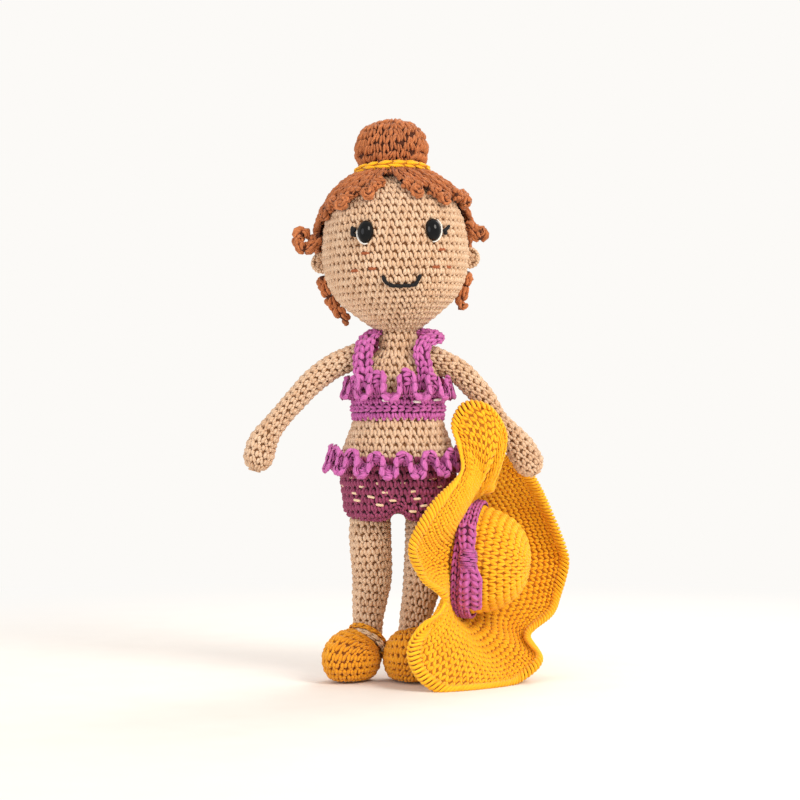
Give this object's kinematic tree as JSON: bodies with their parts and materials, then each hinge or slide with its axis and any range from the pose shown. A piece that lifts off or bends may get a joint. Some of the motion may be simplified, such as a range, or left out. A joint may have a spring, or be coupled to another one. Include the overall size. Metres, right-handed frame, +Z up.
{
  "type": "crochet doll",
  "caption": "Standing crochet doll in a ruffled two-piece with bun hair and shoes, a floppy brimmed sun hat on its side against it.",
  "frame": {"origin": "on the ground under the middle of the outline of doll and hat together", "axes": "+Z up, the doll faces -Y, +X towards the doll's own left, where the hat stands"},
  "size_m": [0.1554, 0.0922, 0.2629],
  "materials": {
    "skin_yarn": "single crochet in beige cotton yarn",
    "hair_yarn": "crochet strands in chestnut cotton yarn",
    "yellow_yarn": "single crochet in sun yellow cotton yarn",
    "shoe_yarn": "tight single crochet in mustard cotton yarn",
    "orchid_yarn": "loose crochet in orchid cotton yarn",
    "plum_yarn": "single crochet in plum cotton yarn",
    "black_plastic": "polished domed safety eye",
    "clear_plastic": "moulded safety eye washer",
    "white_thread": "one laid stitch of white cotton",
    "black_thread": "laid stitches of black thread",
    "fibre_fill": "loose polyester fibre fill"
  },
  "bodies": {
    "torso": {"torso_shell": "skin_yarn", "torso_stuffing": "fibre_fill", "top_band": "orchid_yarn", "top_ruffle": "orchid_yarn", "strap_left": "orchid_yarn", "strap_right": "orchid_yarn", "shorts": "plum_yarn", "shorts_ruffle": "orchid_yarn"},
    "head": {"head_shell": "skin_yarn", "head_stuffing": "fibre_fill", "eye_left": "black_plastic", "eye_right": "black_plastic", "eye_washer_left": "clear_plastic", "eye_washer_right": "clear_plastic", "eye_white_left": "white_thread", "eye_white_right": "white_thread", "lashes_left": "black_thread", "lashes_right": "black_thread", "mouth_stitch": "black_thread", "ear_left": "skin_yarn", "ear_right": "skin_yarn", "hair_cap": "hair_yarn", "bun_shell": "hair_yarn", "bun_stuffing": "fibre_fill", "hair_tie": "yellow_yarn", "fringe_right_inner": "hair_yarn", "fringe_right_middle": "hair_yarn", "fringe_right_outer": "hair_yarn", "fringe_left_inner": "hair_yarn", "fringe_left_middle": "hair_yarn", "fringe_left_outer": "hair_yarn", "side_curl_left": "hair_yarn", "side_curl_right": "hair_yarn", "nape_lock_left": "hair_yarn", "nape_lock_right": "hair_yarn"},
    "arm_left": {"arm_left_shell": "skin_yarn", "arm_left_stuffing": "fibre_fill"},
    "arm_right": {"arm_right_shell": "skin_yarn", "arm_right_stuffing": "fibre_fill"},
    "leg_left": {"leg_left_shell": "skin_yarn", "leg_left_stuffing": "fibre_fill", "shoe_left": "shoe_yarn", "shoe_strap_left": "shoe_yarn"},
    "leg_right": {"leg_right_shell": "skin_yarn", "leg_right_stuffing": "fibre_fill", "shoe_right": "shoe_yarn", "shoe_strap_right": "shoe_yarn"},
    "hat": {"hat_crown": "yellow_yarn", "hat_brim": "yellow_yarn", "hat_band": "orchid_yarn", "hat_bow": "orchid_yarn", "hat_bow_knot": "orchid_yarn"}
  },
  "joints": [
    {"name": "head_turn", "type": "hinge", "parent": "torso", "child": "head", "pos_m": [-0.00531, 0.00034, 0.1635], "axis": [-0.0349, 0, 0.9994], "range_deg": [-25, 25], "stiffness_Nm_per_rad": 0.05},
    {"name": "arm_raise_left", "type": "hinge", "parent": "torso", "child": "arm_left", "pos_m": [0.01419, 0.00034, 0.1495], "axis": [0, -1, 0], "range_deg": [0, 60], "stiffness_Nm_per_rad": 0.08},
    {"name": "arm_raise_right", "type": "hinge", "parent": "torso", "child": "arm_right", "pos_m": [-0.02481, 0.00034, 0.152], "axis": [0, 1, 0], "range_deg": [-8, 60], "stiffness_Nm_per_rad": 0.08},
    {"name": "leg_swing_left", "type": "hinge", "parent": "torso", "child": "leg_left", "pos_m": [0.00729, 0.00034, 0.0775], "axis": [-1, 0, 0], "range_deg": [-20, 0], "stiffness_Nm_per_rad": 0.8},
    {"name": "leg_swing_right", "type": "hinge", "parent": "torso", "child": "leg_right", "pos_m": [-0.01791, 0.00034, 0.0775], "axis": [-1, 0, 0], "range_deg": [-20, 22], "stiffness_Nm_per_rad": 0.8},
    {"name": "hat_slide", "type": "slide", "parent": "torso", "child": "hat", "axis": [1, 0, 0], "range_m": [0, 0.12]}
  ]
}
